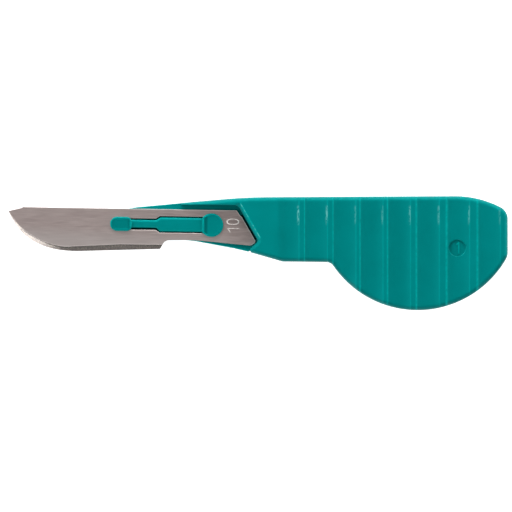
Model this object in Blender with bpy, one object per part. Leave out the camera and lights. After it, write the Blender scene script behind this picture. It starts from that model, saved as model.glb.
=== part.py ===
"""Disposable scalpel: a moulded plastic handle with a stainless steel blade staked to its tongue.

Metres, +Z up. The scalpel lies on the back of its handle, with the blade to -X and its spine to +Y.
The outlines are drawn from the blade seat, the middle of the rear staked head, as their own origin.
A root empty then moves the whole scalpel, so that the world's origin is under the middle of its box.
"""

import math

import bmesh
import bpy
from mathutils import Matrix, Vector

# Handle: the flat outline, from the blade seat
END_X = 0.04678  # end face, from the seat
TOP_Y = 0.0046  # top edge beside the grip
TOP_FALL = 0.0002  # how much lower the top edge is at the pocket
HANDLE_DEPTH = 0.01803  # from the top edge to the bottom of the lobe
LOBE_RADIUS = 0.0161
LOBE_DROP = 0.00761  # how far the lobe hangs below the waist
END_CUT = 0.00187  # how much of the lobe's circle the end face cuts off
END_BLEND_RADIUS = 0.0022
WAIST_BLEND_RADIUS = 0.00142
SHOULDER_FROM_END = 0.00463
SHOULDER_RADIUS = 0.0157
END_CORNER_DROP = 0.00232
END_CORNER_RADIUS = 0.0021
TOP_BEND_X = 0.00534
TOP_BEND_RADIUS = 0.09
RIM_START = (-0.00483, 0.0035)  # where the rim above the pocket begins
TONGUE_TOP = (-0.01266, 0.00277)
TONGUE_TOP_RADIUS = 0.0137
NOSE_MARGIN = 0.00241  # how far the nose reaches past the blade's slot
NOSE_TOP_Y = 0.0016
NOSE_BOTTOM_Y = -0.0009
NOSE_RADIUS = 0.001
TONGUE_BOTTOM = (-0.0025, -0.00255)
TONGUE_HEEL = (0.00354, -0.00367)
BODY_FOOT = (0.00602, -0.00425)  # where the tongue's lower edge becomes the body's
WAIST_FRONT = (0.0112, -0.00574)
WAIST_FRONT_RADIUS = 0.0009

# Handle: thickness and grip
HANDLE_THICKNESS = 0.004
EDGE_ROUND = 0.00055  # rounding of both rims, which follows the grooves
TONGUE_THICKNESS = 0.0018
NOSE_TAPER = 0.0005  # how much the tongue's back rises towards the nose
GROOVE_WIDTH = 0.00363
GROOVE_DEPTH = 0.0004
GROOVE_SOFTNESS = 0.00003  # rounding of a groove's shoulders
GRIP_END_MARGIN = 0.00117  # from the last groove to the end face
LAND_WIDTHS = (0.00105, 0.00074, 0.00052, 0.00071, 0.00092, 0.00115, 0.00123)  # front to back
RECESS_RADIUS = 0.0014  # round recess in the floor of a groove
RECESS_DEPTH = 0.0003
RECESS_FROM_END = 0.00786
RECESS_Y = -0.00362

# Blade: its outline in its own frame, along its slot
BLADE_TILT = math.radians(-0.8)
BLADE_THICKNESS = 0.00039
EDGE_THICKNESS = 0.00002  # what the grind leaves at the cutting edge
TIP = (-0.0322, 0.0018)
BELLY_PULLS = ((-0.02946, -0.00417), (-0.02426, -0.0044))  # handles of the belly's curve
BELLY_END = (-0.02097, -0.0044)
HEEL = (-0.00808, -0.00388)
CHOIL = (-0.0073, -0.0025)
CHOIL_RADIUS = 0.0012
TANG_DIP = (-0.0025, -0.0024)
TANG_DIP_RADIUS = 0.04
TANG_FOOT = (0.0062, -0.00315)
TANG_CORNER = (0.0071, -0.00262)
TANG_CORNER_RADIUS = 0.0004
REAR_JOG = ((0.00474, 0.00138), (0.0045, 0.00155))
SPINE_REAR = (0.00393, 0.00237)
SPINE_FRONT = (-0.02991, 0.00247)
CLIP = ((-0.02999, 0.00234), (-0.03023, 0.00229))  # the small step where the blank was snapped off
GRIND_TIP = (-0.03206, 0.0018)
GRIND_PULLS = ((-0.02977, -0.00246), (-0.02503, -0.00371))
GRIND_BELLY_END = (-0.02291, -0.00372)
GRIND_MIDDLE = (-0.01443, -0.00322)
GRIND_HEEL = (-0.0077, -0.0032)

# Blade seat: the slot, the bar that fills it, the staked heads and the pocket
SLOT_FRONT_X = -0.01479
SLOT_REAR_X = 0.0007
SLOT_STEP_X = -0.0088  # where the slot widens
SLOT_STEP_RUN = 0.0006
SLOT_NARROW = 0.00174
SLOT_WIDE = 0.00257
BAR_CLEARANCE = 0.00018
SEAT_CLEARANCE = 0.00003  # above and below the blade
BAR_PROUD = 0.00025  # how far the bar stands above the blade
BAR_ROUND = 0.00012
HEAD_THICKNESS = 0.0006
HEAD_ROUND = 0.0002
HEAD_RIM = 0.00028  # width of the raised rim round a head's dished top
HEAD_DISH = 0.0001
FRONT_HEAD_LENGTH = 0.00345
FRONT_HEAD_WIDTH = 0.00224
FRONT_HEAD_LAP = 0.00124  # how far the front head reaches past the slot
FRONT_HEAD_RADIUS = 0.0007
REAR_HEAD_RADIUS = 0.00186
REAR_HEAD_FLAT_X = -0.00152
POCKET_SPINE_GAP = 0.00083
POCKET_REAR_GAP = 0.00038
POCKET_FOOT_GAP = 0.00048
POCKET_TOP_RADIUS = 0.0009
POCKET_CORNER_RADIUS = 0.0004
BAND_WIDTH = 0.0005  # sloped band round the pocket
BAND_DROP = 0.00035
RIM_RAMP_LENGTH = 0.0085
RIM_RAMP_DROP = 0.0011
NOTCH_RADIUS = 0.00018

# How finely round shapes are divided
CHORD_ERROR = 0.00001  # how far an arc's chords may lie from it
BIGGEST_STEP = math.radians(30)
BELLY_STEPS = 22
GROOVE_CUTS = (-1.06, -0.96, -0.86, -0.6, -0.3, 0.0, 0.3, 0.6, 0.86, 0.96, 1.06)  # in half widths
NEARLY_ROUND = 0.98  # share of a half width that still leaves a short flat between two corners
PAST = 0.002  # how far a cutter runs past what it cuts


def clear_scene():
    for item in list(bpy.data.objects):
        bpy.data.objects.remove(item, do_unlink=True)


def new_collection(name):
    made = bpy.data.collections.new(name)
    bpy.context.scene.collection.children.link(made)
    return made


def new_material(name, colour, roughness, metallic):
    made = bpy.data.materials.new(name)
    made.use_nodes = True
    shader = made.node_tree.nodes["Principled BSDF"]
    shader.inputs["Base Color"].default_value = (*colour, 1.0)
    shader.inputs["Roughness"].default_value = roughness
    shader.inputs["Metallic"].default_value = metallic
    return made


def add_object(name, mesh, collection, root, tilt=0.0):
    """An object under the root empty, turned by the blade's tilt where it belongs to the blade."""
    mesh.shade_smooth()
    mesh.set_sharp_from_angle(angle=math.radians(30))
    made = bpy.data.objects.new(name, mesh)
    made.parent = root
    made.rotation_euler.z = tilt
    collection.objects.link(made)
    if collection.name == "cutters":
        made.hide_render = True
        made.display_type = "WIRE"
    return made


def boolean(target, operation, other, solver="EXACT"):
    modifier = target.modifiers.new(other.name, "BOOLEAN")
    modifier.operation = operation
    modifier.solver = solver
    modifier.object = other


def arc(centre, radius, start, end):
    """Points on an arc, from one angle to the other, ends included."""
    step = min(BIGGEST_STEP, 2 * math.acos(1 - min(0.5, CHORD_ERROR / radius)))
    steps = max(1, math.ceil(abs(end - start) / step))
    angles = [start + (end - start) * i / steps for i in range(steps + 1)]
    return [(centre[0] + radius * math.cos(a), centre[1] + radius * math.sin(a)) for a in angles]


def rounded(corners):
    """A closed outline from (x, y, radius) corners, each with an arc that touches both its sides."""
    outline = []
    for i, (x, y, radius) in enumerate(corners):
        at = Vector((x, y))
        before = (Vector(corners[i - 1][:2]) - at).normalized()
        after = (Vector(corners[(i + 1) % len(corners)][:2]) - at).normalized()
        half = before.angle(after) / 2
        if radius == 0:
            outline.append((x, y))
            continue
        centre = at + (before + after).normalized() * (radius / math.sin(half))
        first = at + before * (radius / math.tan(half)) - centre
        sweep = first.angle_signed(at + after * (radius / math.tan(half)) - centre)
        start = math.atan2(first.y, first.x)
        outline += arc(centre, radius, start, start - sweep)
    return outline


def sharp(points):
    """The same points as corners of no radius."""
    return [(x, y, 0) for x, y in points]


def inset(outline, distance):
    """The anticlockwise outline with each side moved inwards by a distance."""
    moved = []
    for i, point in enumerate(outline):
        at = Vector(point)
        back = (at - Vector(outline[i - 1])).normalized()
        ahead = (Vector(outline[(i + 1) % len(outline)]) - at).normalized()
        inward = (back + ahead).normalized().orthogonal()
        moved.append(tuple(at + inward * (distance / inward.dot(back.orthogonal()))))
    return moved


def bezier(start, pulls, end, steps):
    """Points on a cubic curve, ends included."""
    a, b, c, d = (Vector(p) for p in (start, *pulls, end))
    shares = [i / steps for i in range(steps + 1)]
    return [
        tuple(a * (1 - t) ** 3 + b * 3 * t * (1 - t) ** 2 + c * 3 * t * t * (1 - t) + d * t**3)
        for t in shares
    ]


def slab(name, outline, bottom, top, rounding=0.0):
    """A flat outline extruded from one height to another, with its rims rounded."""
    curve = bpy.data.curves.new(name, "CURVE")
    curve.dimensions = "2D"
    curve.fill_mode = "BOTH"
    curve.extrude = (top - bottom) / 2 - rounding
    curve.bevel_depth = rounding
    curve.bevel_resolution = 1
    curve.offset = -rounding
    spline = curve.splines.new("POLY")
    spline.points.add(len(outline) - 1)
    for point, (x, y) in zip(spline.points, outline):
        point.co = (x, y, 0, 1)
    spline.use_cyclic_u = True
    drawn = bpy.data.objects.new(name, curve)
    bpy.context.scene.collection.objects.link(drawn)
    depsgraph = bpy.context.evaluated_depsgraph_get()
    mesh = bpy.data.meshes.new_from_object(drawn.evaluated_get(depsgraph))
    bpy.data.objects.remove(drawn, do_unlink=True)
    mesh.transform(Matrix.Translation((0, 0, (bottom + top) / 2)))

    # The caps are welded to the sides, and each becomes one flat face
    near = 1e-7
    bm = bmesh.new()
    bm.from_mesh(mesh)
    bmesh.ops.remove_doubles(bm, verts=bm.verts, dist=near)
    for height in (bottom, top):
        cap = [face for face in bm.faces if all(abs(v.co.z - height) < near for v in face.verts)]
        bmesh.ops.dissolve_faces(bm, faces=cap)
    bmesh.ops.recalc_face_normals(bm, faces=bm.faces)
    bm.to_mesh(mesh)
    bm.free()
    return mesh


def loft(name, rings):
    """A closed mesh through rings of as many points each, given as (outline, height), bottom first."""
    bm = bmesh.new()
    rows = [[bm.verts.new((x, y, z)) for x, y in outline] for outline, z in rings]
    bm.faces.new(reversed(rows[0]))
    bm.faces.new(rows[-1])
    count = len(rows[0])
    for low, high in zip(rows, rows[1:]):
        for i in range(count):
            j = (i + 1) % count
            bm.faces.new((low[i], low[j], high[j], high[i]))
    mesh = bpy.data.meshes.new(name)
    bm.to_mesh(mesh)
    bm.free()
    return mesh


def cylinder(name, centre, radius, bottom, top):
    step = 2 * math.acos(1 - CHORD_ERROR / radius)
    place = Matrix.Translation((*centre, (bottom + top) / 2))
    bm = bmesh.new()
    bmesh.ops.create_cone(
        bm,
        cap_ends=True,
        segments=math.ceil(2 * math.pi / step),
        radius1=radius,
        radius2=radius,
        depth=top - bottom,
        matrix=place,
    )
    mesh = bpy.data.meshes.new(name)
    bm.to_mesh(mesh)
    bm.free()
    return mesh


def wedge(name, start, end, rise):
    """A cutter across the whole handle, from the sloped line start-end in XZ to a level beyond it."""
    level = end[1] + rise
    bm = bmesh.new()
    corners = [start, end, (end[0], level), (start[0], level)]
    side = bm.faces.new([bm.verts.new((x, -HANDLE_DEPTH, z)) for x, z in corners])
    run = bmesh.ops.extrude_face_region(bm, geom=[side])["geom"]
    moved = [item for item in run if isinstance(item, bmesh.types.BMVert)]
    bmesh.ops.translate(bm, verts=moved, vec=(0, 2 * HANDLE_DEPTH, 0))
    bmesh.ops.recalc_face_normals(bm, faces=bm.faces)
    mesh = bpy.data.meshes.new(name)
    bm.to_mesh(mesh)
    bm.free()
    return mesh


def handle_outline():
    """The handle from above, anticlockwise from the front of the waist."""
    lobe_bottom = TOP_Y - HANDLE_DEPTH
    lobe = Vector((END_X + END_CUT - LOBE_RADIUS, lobe_bottom + LOBE_RADIUS))
    waist_y = lobe_bottom + LOBE_DROP
    nose_x = SLOT_FRONT_X - NOSE_MARGIN

    # A hollow arc leads from the waist into the lobe
    down = lobe.y - waist_y + WAIST_BLEND_RADIUS
    across = math.sqrt((LOBE_RADIUS + WAIST_BLEND_RADIUS) ** 2 - down**2)
    waist_centre = (lobe.x - across, waist_y - WAIST_BLEND_RADIUS)
    waist_angle = math.atan2(down, across)

    # A tighter arc leads from the lobe into the end face
    across = LOBE_RADIUS - END_CUT - END_BLEND_RADIUS
    down = math.sqrt((LOBE_RADIUS - END_BLEND_RADIUS) ** 2 - across**2)
    end_centre = (END_X - END_BLEND_RADIUS, lobe.y - down)
    end_angle = -math.atan2(down, across)

    lower = arc(waist_centre, WAIST_BLEND_RADIUS, math.pi / 2, waist_angle)
    lower += arc(lobe, LOBE_RADIUS, waist_angle - math.pi, end_angle)[1:]
    lower += arc(end_centre, END_BLEND_RADIUS, end_angle, 0)[1:]
    return rounded(
        [
            (*WAIST_FRONT, WAIST_FRONT_RADIUS),
            *sharp(lower),
            (END_X, TOP_Y - END_CORNER_DROP, END_CORNER_RADIUS),
            (END_X - SHOULDER_FROM_END, TOP_Y, SHOULDER_RADIUS),
            (TOP_BEND_X, TOP_Y - TOP_FALL, TOP_BEND_RADIUS),
            (*RIM_START, 0),
            (*TONGUE_TOP, TONGUE_TOP_RADIUS),
            (nose_x, NOSE_TOP_Y, NOSE_RADIUS),
            (nose_x, NOSE_BOTTOM_Y, NOSE_RADIUS),
            (*TONGUE_BOTTOM, 0),
            (*TONGUE_HEEL, 0),
            (*BODY_FOOT, 0),
        ]
    )


def groove_centres():
    """The middle of each grip groove, from the end face forwards."""
    centres = [END_X - GRIP_END_MARGIN - GROOVE_WIDTH / 2]
    for land in reversed(LAND_WIDTHS):
        centres.append(centres[-1] - land - GROOVE_WIDTH)
    return centres


def groove_depth(x, centres):
    """How deep the grip is at x: hollow arcs with flat lands between and softened shoulders."""
    half = GROOVE_WIDTH / 2
    radius = (half**2 / GROOVE_DEPTH + GROOVE_DEPTH) / 2
    away = min(min(abs(x - c) for c in centres), 1.5 * half)
    hollow = math.sqrt(radius**2 - away**2) - (radius - GROOVE_DEPTH)
    return (hollow + math.hypot(hollow, GROOVE_SOFTNESS)) / 2


def grip_plate():
    """The handle's slab with grooves pressed into both faces, so that its rounded rims follow them."""
    mesh = slab("handle", handle_outline(), 0, HANDLE_THICKNESS, EDGE_ROUND)
    centres = groove_centres()
    bm = bmesh.new()
    bm.from_mesh(mesh)
    for centre in centres:
        for share in GROOVE_CUTS:
            place = (centre + share * GROOVE_WIDTH / 2, 0, 0)
            everything = bm.verts[:] + bm.edges[:] + bm.faces[:]
            bmesh.ops.bisect_plane(bm, geom=everything, dist=1e-8, plane_co=place, plane_no=(1, 0, 0))
    for vert in bm.verts:
        inwards = -1 if vert.co.z > HANDLE_THICKNESS / 2 else 1
        vert.co.z += inwards * groove_depth(vert.co.x, centres)
    bm.to_mesh(mesh)
    bm.free()
    return mesh


def tang_corners():
    """The blade behind its cutting edge, anticlockwise from the choil to the clip."""
    return [
        (*CHOIL, CHOIL_RADIUS),
        (*TANG_DIP, TANG_DIP_RADIUS),
        (*TANG_FOOT, TANG_CORNER_RADIUS),
        (*TANG_CORNER, TANG_CORNER_RADIUS),
        *sharp(REAR_JOG),
        (*SPINE_REAR, 0),
        (*SPINE_FRONT, 0),
        *sharp(CLIP),
    ]


def blade_outline():
    edge = bezier(TIP, BELLY_PULLS, BELLY_END, BELLY_STEPS)
    middle = tuple((Vector(BELLY_END) + Vector(HEEL)) / 2)
    return rounded(sharp([*edge, middle, HEEL]) + tang_corners())


def face_outline():
    """The blade's flat face inside the grind, with as many points as its outline."""
    edge = bezier(GRIND_TIP, GRIND_PULLS, GRIND_BELLY_END, BELLY_STEPS)
    return rounded(sharp([*edge, GRIND_MIDDLE, GRIND_HEEL]) + tang_corners())


def slot_outline():
    narrow = SLOT_NARROW / 2
    wide = SLOT_WIDE / 2
    wide_x = SLOT_STEP_X + SLOT_STEP_RUN
    return rounded(
        [
            (SLOT_FRONT_X, -narrow, narrow * NEARLY_ROUND),
            (SLOT_STEP_X, -narrow, 0),
            (wide_x, -wide, 0),
            (SLOT_REAR_X, -wide, wide * NEARLY_ROUND),
            (SLOT_REAR_X, wide, wide * NEARLY_ROUND),
            (wide_x, wide, 0),
            (SLOT_STEP_X, narrow, 0),
            (SLOT_FRONT_X, narrow, narrow * NEARLY_ROUND),
        ]
    )


def front_head_outline():
    front = SLOT_FRONT_X - FRONT_HEAD_LAP
    rear = front + FRONT_HEAD_LENGTH
    half = FRONT_HEAD_WIDTH / 2
    return rounded(
        [
            (front, -half, half * NEARLY_ROUND),
            (rear, -half, FRONT_HEAD_RADIUS),
            (rear, half, FRONT_HEAD_RADIUS),
            (front, half, half * NEARLY_ROUND),
        ]
    )


def rear_head_outline():
    reach = math.acos(REAR_HEAD_FLAT_X / REAR_HEAD_RADIUS)
    return arc((0, 0), REAR_HEAD_RADIUS, -reach, reach)


def pocket_outline():
    """What the pocket takes off the tongue: its walls follow the blade's spine, rear edge and foot."""
    front = SLOT_FRONT_X - NOSE_MARGIN - PAST
    below = BODY_FOOT[1] - PAST
    wall_top = SPINE_REAR[1] + POCKET_SPINE_GAP
    rear_edge = Vector(TANG_CORNER) - Vector(SPINE_REAR)
    gap = Vector((-rear_edge.y, rear_edge.x)).normalized() * POCKET_REAR_GAP
    low = Vector(TANG_CORNER) + gap
    high = low - rear_edge * ((wall_top - low.y) / -rear_edge.y)
    return rounded(
        [
            (front, below, 0),
            (TANG_FOOT[0], below, 0),
            (TANG_FOOT[0], TANG_FOOT[1] - POCKET_FOOT_GAP, 0),
            (*low, POCKET_CORNER_RADIUS),
            (*high, POCKET_TOP_RADIUS),
            (RIM_START[0], wall_top, 0),
            (RIM_START[0], TOP_Y + PAST, 0),
            (front, TOP_Y + PAST, 0),
        ]
    )


def pocket():
    """The pocket's cutter: straight walls up to the sloped band, and flared above them."""
    wall = pocket_outline()
    flare = inset(wall, -BAND_WIDTH * (1 + PAST / BAND_DROP))
    band_low = HANDLE_THICKNESS - BAND_DROP
    return loft("pocket", [(wall, TONGUE_THICKNESS), (wall, band_low), (flare, HANDLE_THICKNESS + PAST)])


def rim_ramp():
    """Lowers the thin rim above the pocket towards its front end."""
    low = (RIM_START[0] - PAST, HANDLE_THICKNESS - RIM_RAMP_DROP * (1 + PAST / RIM_RAMP_LENGTH))
    high = (RIM_START[0] + RIM_RAMP_LENGTH, HANDLE_THICKNESS)
    return wedge("rim_ramp", low, high, PAST)


def nose_taper():
    """Thins the back of the tongue towards the nose."""
    nose_x = SLOT_FRONT_X - NOSE_MARGIN
    low = (nose_x - PAST, NOSE_TAPER * (1 + PAST / (BODY_FOOT[0] - nose_x)))
    return wedge("nose_taper", low, (BODY_FOOT[0], 0), -PAST)


def staked_bar(cutters, root):
    """The bar that stands in the blade's slot, with a dished head melted over the blade at each end."""
    blade_top = TONGUE_THICKNESS + SEAT_CLEARANCE + BLADE_THICKNESS
    outline = inset(slot_outline(), BAR_CLEARANCE)
    mesh = slab("bar", outline, TONGUE_THICKNESS / 2, blade_top + BAR_PROUD, BAR_ROUND)
    bar = add_object("bar", mesh, cutters, root, BLADE_TILT)
    low = blade_top + SEAT_CLEARANCE
    high = low + HEAD_THICKNESS
    for name, around in (("front_head", front_head_outline()), ("rear_head", rear_head_outline())):
        head = slab(name, around, low, high, HEAD_ROUND)
        boolean(bar, "UNION", add_object(name, head, cutters, root, BLADE_TILT), "MANIFOLD")
        dish = slab(name + "_dish", inset(around, HEAD_RIM), high - HEAD_DISH, high + PAST)
        boolean(bar, "DIFFERENCE", add_object(dish.name, dish, cutters, root, BLADE_TILT), "MANIFOLD")
    return bar


def make_handle(parts, cutters, root):
    """One moulding: the grooved body, the tongue under the blade, the bar and the two staked heads."""
    handle = add_object("handle", grip_plate(), parts, root)
    handle.data.materials.append(new_material("teal_plastic", (0.0, 0.23, 0.22), 0.42, 0.0))

    boolean(handle, "DIFFERENCE", add_object("pocket", pocket(), cutters, root, BLADE_TILT))
    boolean(handle, "DIFFERENCE", add_object("rim_ramp", rim_ramp(), cutters, root))
    boolean(handle, "DIFFERENCE", add_object("nose_taper", nose_taper(), cutters, root))
    notch = cylinder("notch", BODY_FOOT, NOTCH_RADIUS, -PAST, HANDLE_THICKNESS + PAST)
    boolean(handle, "DIFFERENCE", add_object("notch", notch, cutters, root))
    recess_centre = (END_X - RECESS_FROM_END, RECESS_Y)
    recess_floor = HANDLE_THICKNESS - GROOVE_DEPTH - RECESS_DEPTH
    recess = cylinder("recess", recess_centre, RECESS_RADIUS, recess_floor, HANDLE_THICKNESS + PAST)
    boolean(handle, "DIFFERENCE", add_object("recess", recess, cutters, root))

    boolean(handle, "UNION", staked_bar(cutters, root), "MANIFOLD")


def make_blade(parts, cutters, root):
    """A flat steel blank, ground from both faces to its edge, with the slot that the bar fills."""
    low = TONGUE_THICKNESS + SEAT_CLEARANCE
    high = low + BLADE_THICKNESS
    middle = (low + high) / 2
    half_edge = EDGE_THICKNESS / 2
    face = face_outline()
    whole = blade_outline()
    ground = loft("blade", [(face, low), (whole, middle - half_edge), (whole, middle + half_edge), (face, high)])
    blade = add_object("blade", ground, parts, root, BLADE_TILT)
    blade.data.materials.append(new_material("blade_steel", (0.55, 0.52, 0.5), 0.35, 1.0))

    slot = slab("slot", slot_outline(), low - PAST, high + PAST)
    boolean(blade, "DIFFERENCE", add_object("slot", slot, cutters, root, BLADE_TILT))


def middle_of_box():
    """The middle of the whole scalpel seen from above."""
    turn = Matrix.Rotation(BLADE_TILT, 2)
    points = [Vector(p) for p in handle_outline()] + [turn @ Vector(p) for p in blade_outline()]
    xs = [p.x for p in points]
    ys = [p.y for p in points]
    return ((min(xs) + max(xs)) / 2, (min(ys) + max(ys)) / 2)


def main():
    clear_scene()
    parts = new_collection("disposable_scalpel")
    cutters = new_collection("cutters")
    root = bpy.data.objects.new("scalpel_root", None)
    middle = middle_of_box()
    root.location = (-middle[0], -middle[1], 0)
    parts.objects.link(root)
    make_handle(parts, cutters, root)
    make_blade(parts, cutters, root)


main()
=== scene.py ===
"""Looks of the disposable scalpel: fine meshes of its two pieces, their finishes, and the studio.

Metres, +Z up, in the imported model's frame. The scalpel lies on the back of its handle, blade to -X.
Outlines are drawn from the blade seat, the middle of the rear staked head, and then moved to it.
"""

from math import acos, atan2, ceil, copysign, cos, exp, hypot, pi, radians, sin, sqrt, tan

import bmesh
import bpy
from mathutils import Matrix, Vector

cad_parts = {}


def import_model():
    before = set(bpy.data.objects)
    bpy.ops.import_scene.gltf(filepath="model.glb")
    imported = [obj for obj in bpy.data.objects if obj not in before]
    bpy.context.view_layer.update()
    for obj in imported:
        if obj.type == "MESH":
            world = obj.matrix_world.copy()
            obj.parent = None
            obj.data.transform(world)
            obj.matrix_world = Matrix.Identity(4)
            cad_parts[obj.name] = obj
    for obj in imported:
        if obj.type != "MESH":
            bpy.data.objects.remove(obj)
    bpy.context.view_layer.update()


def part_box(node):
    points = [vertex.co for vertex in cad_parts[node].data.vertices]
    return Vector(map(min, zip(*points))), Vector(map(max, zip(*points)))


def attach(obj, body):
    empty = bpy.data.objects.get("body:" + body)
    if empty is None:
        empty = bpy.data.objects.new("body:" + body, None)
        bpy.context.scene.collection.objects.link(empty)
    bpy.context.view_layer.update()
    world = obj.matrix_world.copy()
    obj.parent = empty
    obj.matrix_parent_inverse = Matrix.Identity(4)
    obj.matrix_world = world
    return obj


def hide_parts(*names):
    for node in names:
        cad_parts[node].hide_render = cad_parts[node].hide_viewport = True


# Handle: the flat outline, from the blade seat
END_X = 0.04678
TOP_Y = 0.0046
TOP_FALL = 0.0002
HANDLE_DEPTH = 0.01803
LOBE_RADIUS = 0.0161
LOBE_DROP = 0.00761
END_CUT = 0.00187
END_BLEND_RADIUS = 0.0022
WAIST_BLEND_RADIUS = 0.00142
SHOULDER_FROM_END = 0.00463
SHOULDER_RADIUS = 0.0157
END_CORNER_DROP = 0.00232
END_CORNER_RADIUS = 0.0021
TOP_BEND_X = 0.00534
TOP_BEND_RADIUS = 0.09
RIM_START = (-0.00483, 0.0035)
TONGUE_TOP = (-0.01266, 0.00277)
TONGUE_TOP_RADIUS = 0.0137
NOSE_MARGIN = 0.00241
NOSE_TOP_Y = 0.0016
NOSE_BOTTOM_Y = -0.0009
NOSE_RADIUS = 0.001
TONGUE_BOTTOM = (-0.0025, -0.00255)
TONGUE_HEEL = (0.00354, -0.00367)
BODY_FOOT = (0.00602, -0.00425)
WAIST_FRONT = (0.0112, -0.00574)
WAIST_FRONT_RADIUS = 0.0009

# Handle: thickness and grip, with the lands told from the blade's side backwards
EDGE_ROUND = 0.0008
TONGUE_THICKNESS = 0.0018
TONGUE_ROUND = 0.00022
NOSE_TAPER = 0.0005
GROOVE_WIDTH = 0.00363
GROOVE_DEPTH = 0.0004
GROOVE_POWER = 2.6
GROOVE_END = 1.5
FRONT_SLOPE = 0.0017
FRONT_SHOULDER_SOFTNESS = 0.00002
REAR_SHOULDER_SOFTNESS = 0.00005
BEAD_HEIGHT = 0.00002
BEAD_HALF_WIDTH = 0.00006
GRIP_END_MARGIN = 0.00117
LAND_WIDTHS = (0.00086, 0.00087, 0.00064, 0.00071, 0.00092, 0.00115, 0.00123)
PARTING_RIDGE = 0.00002
PARTING_HALF_WIDTH = 0.00005
RECESS_RADIUS = 0.00131
RECESS_DEPTH = 0.0003
RECESS_FROM_END = 0.00796
RECESS_Y = -0.00362
RECESS_RIM = 0.00012

# Blade
BLADE_TILT = radians(-0.8)
EDGE_THICKNESS = 0.00001
BLADE_ROUND = 0.00002
BLADE_RIM = 0.00015
BLADE_RIM_FALL = 0.000002
TIP = (-0.0322, 0.0018)
BELLY_PULLS = ((-0.02946, -0.00417), (-0.02426, -0.0044))
BELLY_END = (-0.02097, -0.0044)
HEEL = (-0.00808, -0.00388)
CHOIL = (-0.0073, -0.0025)
CHOIL_RADIUS = 0.0012
TANG_DIP = (-0.0025, -0.0024)
TANG_DIP_RADIUS = 0.04
TANG_FOOT = (0.0062, -0.00315)
TANG_CORNER = (0.0071, -0.00262)
TANG_CORNER_RADIUS = 0.0004
REAR_JOG = ((0.00474, 0.00138), (0.0045, 0.00155))
TANG_RIM_ABOVE = -0.0021
SPINE_REAR = (0.00393, 0.00237)
SPINE_FRONT = (-0.02991, 0.00247)
CLIP = ((-0.02999, 0.00234), (-0.03023, 0.00229))
GRIND_TIP = (-0.03215, 0.0018)
GRIND_PULLS = ((-0.02977, -0.00246), (-0.02503, -0.00371))
GRIND_BELLY_END = (-0.02291, -0.00372)
GRIND_MIDDLE = (-0.01443, -0.00322)
GRIND_HEEL = (-0.0077, -0.0032)
GRIND_PROFILE = ((0, 0), (0.1, 0.16), (0.3, 0.37), (0.6, 0.64), (0.85, 0.84), (1, 1))
SLOT_FLARE = ((0.00001, 0.00005), (0.00003, 0.00002), (0.00007, 0.000006), (0.00011, 0.0000004))

# Blade seat
SLOT_FRONT_X = -0.01479
SLOT_REAR_X = 0.0007
SLOT_STEP_X = -0.0088
SLOT_STEP_RUN = 0.0006
SLOT_NARROW = 0.00174
SLOT_WIDE = 0.00257
BAR_CLEARANCE = 0.00018
BAR_LOWER_SHARE = 0.8
SEAT_CLEARANCE = 0.00003
BAR_PROUD = 0.00025
BAR_ROUND = 0.0004
HEAD_THICKNESS = 0.0006
HEAD_ROUND = 0.00024
HEAD_CREST = 0.00002
HEAD_SLOPE = 0.0003
HEAD_DISH = 0.00004
FRONT_DISH_INSET = 0.00075
REAR_HEAD_TRENCH = 0.0001
REAR_HEAD_LIP = 0.00006
FRONT_HEAD_LENGTH = 0.00345
FRONT_HEAD_WIDTH = 0.00224
FRONT_HEAD_LAP = 0.00124
FRONT_HEAD_RADIUS = 0.00085
REAR_HEAD_RADIUS = 0.00186
REAR_HEAD_FLAT_X = -0.00152
REAR_DISH_FLAT_X = -0.0005
POCKET_SPINE_GAP = 0.00083
POCKET_REAR_GAP = 0.00038
POCKET_FOOT_GAP = 0.00048
POCKET_TOP_RADIUS = 0.0009
POCKET_CORNER_RADIUS = 0.0004
SLOT_RELIEF = 0.00085
REAR_RELIEF = 0.0009
RELIEF_PAST = 0.00002
RELIEF_SHORT = (0.0006, 0.0018)
RELIEF_FROM_WALL = 0.00008
BAND_WIDTH = 0.0005
BAND_DROP = 0.00035
BAND_LOW_ROUND = 0.0001
BAND_FADE = 0.00012
BAND_FADE_DROP = 0.000002
BAND_OVER_SPINE = 0.3
CREASE_TURN = radians(20)
BAND_HIGH_ROUND = 0.00025
RIM_RAMP_LENGTH = 0.0085
RIM_RAMP_DROP = 0.0011
RIM_RAMP_POWER = 1.3
NOTCH_RADIUS = 0.00018

# Measures that follow from the others
NOSE_X = SLOT_FRONT_X - NOSE_MARGIN
FRONT_HEAD_X = SLOT_FRONT_X - FRONT_HEAD_LAP
CREST_INSET = HEAD_ROUND + HEAD_CREST
POCKET_TOP_Y = SPINE_REAR[1] + POCKET_SPINE_GAP

# Plain numbers: etched in the blade's tang, and raised in the recess
ETCH_DEPTH = 0.00001
ETCH_STROKE = 0.00009
ETCHED_ZERO = (0.00233, 0.00437, 0.0001, 0.00106)
ETCHED_ZERO_POWER = 0.85
ETCHED_ZERO_STROKES = (0.00022, 0.00011)
ETCHED_ZERO_STEPS = 48
ETCHED_ONE = (0.00252, 0.00434, -0.00048)
ETCHED_FLAG = (0.00042, -0.00056)
MOULDED_HEIGHT = 0.0001
MOULDED_STROKE = 0.00022
MOULDED_ONE = (0.03904, -0.00441, -0.00275)
MOULDED_FLAG = (-0.0003, -0.0003)

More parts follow.
